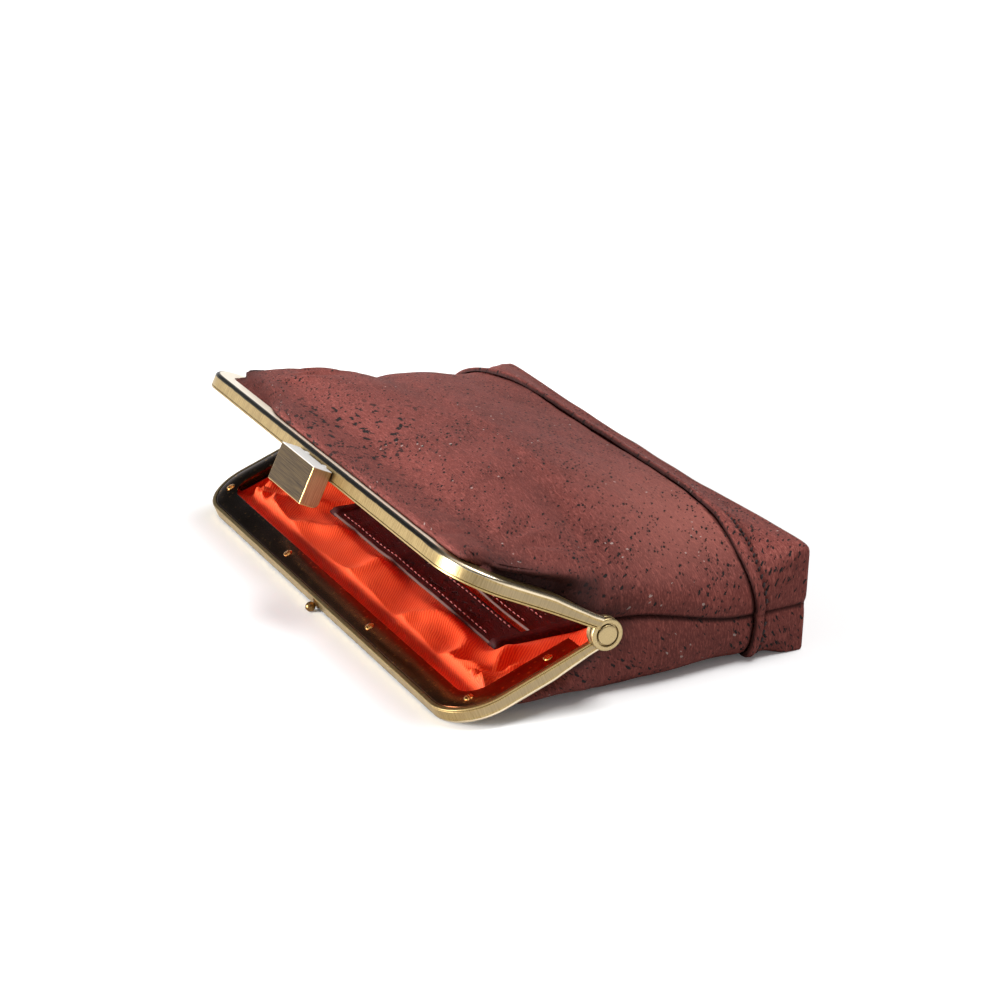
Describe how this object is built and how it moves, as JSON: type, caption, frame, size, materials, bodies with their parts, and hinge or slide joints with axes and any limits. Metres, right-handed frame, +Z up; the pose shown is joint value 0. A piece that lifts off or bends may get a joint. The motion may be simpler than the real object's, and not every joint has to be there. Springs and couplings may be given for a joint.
{
  "type": "clip frame clutch wallet",
  "caption": "Clip-frame clutch wallet of wine-red cork fabric, with brushed brass frame halves, a block clasp over a ball stud, and an orange twill lining with a card pocket.",
  "frame": {"origin": "centre of the bounding box's base, on the surface that the wallet lies on", "axes": "+X along the hinge axis, +Y from the mouth to the bottom of the bag, +Z up, away from the surface it lies on"},
  "size_m": [0.1838, 0.1044, 0.0437],
  "materials": {
    "frame_brass": "antique brass, brushed across the rim, with polished edges",
    "plate_bronze": "dark bronze, mirror polished",
    "screw_brass": "bright brass",
    "block_bronze": "bronze, brushed along the block, with bright worn edges",
    "cork_wine": "wine-red cork fabric with dark pores, semi-matte",
    "lining_orange": "orange twill",
    "pocket_cork": "near-black red cork fabric, stitched"
  },
  "bodies": {
    "back_half": {"back_bottom_band": "cork_wine", "back_frame": "frame_brass", "back_lining": "lining_orange", "back_panel": "cork_wine", "back_plate": "plate_bronze", "back_plate_screw_1": "screw_brass", "back_plate_screw_2": "screw_brass", "back_plate_screw_3": "screw_brass", "back_plate_screw_4": "screw_brass", "back_plate_screw_5": "screw_brass", "back_plate_screw_6": "screw_brass", "clasp_stud": "frame_brass", "front_bottom_band": "cork_wine", "front_lining": "lining_orange", "front_panel": "cork_wine", "left_hinge_rivet": "frame_brass", "pocket_facing_strip": "pocket_cork", "pocket_front_sheet": "pocket_cork", "pocket_left_binding": "pocket_cork", "pocket_right_binding": "pocket_cork", "right_hinge_rivet": "frame_brass"},
    "front_half": {"clasp_block": "block_bronze", "clasp_spring": "screw_brass", "front_frame": "frame_brass", "front_plate": "plate_bronze", "front_plate_screw_1": "screw_brass", "front_plate_screw_2": "screw_brass", "front_plate_screw_3": "screw_brass", "front_plate_screw_4": "screw_brass", "front_plate_screw_5": "screw_brass", "front_plate_screw_6": "screw_brass"}
  },
  "joints": [
    {"name": "mouth_hinge", "type": "hinge", "parent": "back_half", "child": "front_half", "pos_m": [0, -0.00612, 0.01825], "axis": [1, 0, 0], "range_deg": [-43, 46.8], "deforming": ["front_panel", "front_lining"]}
  ]
}
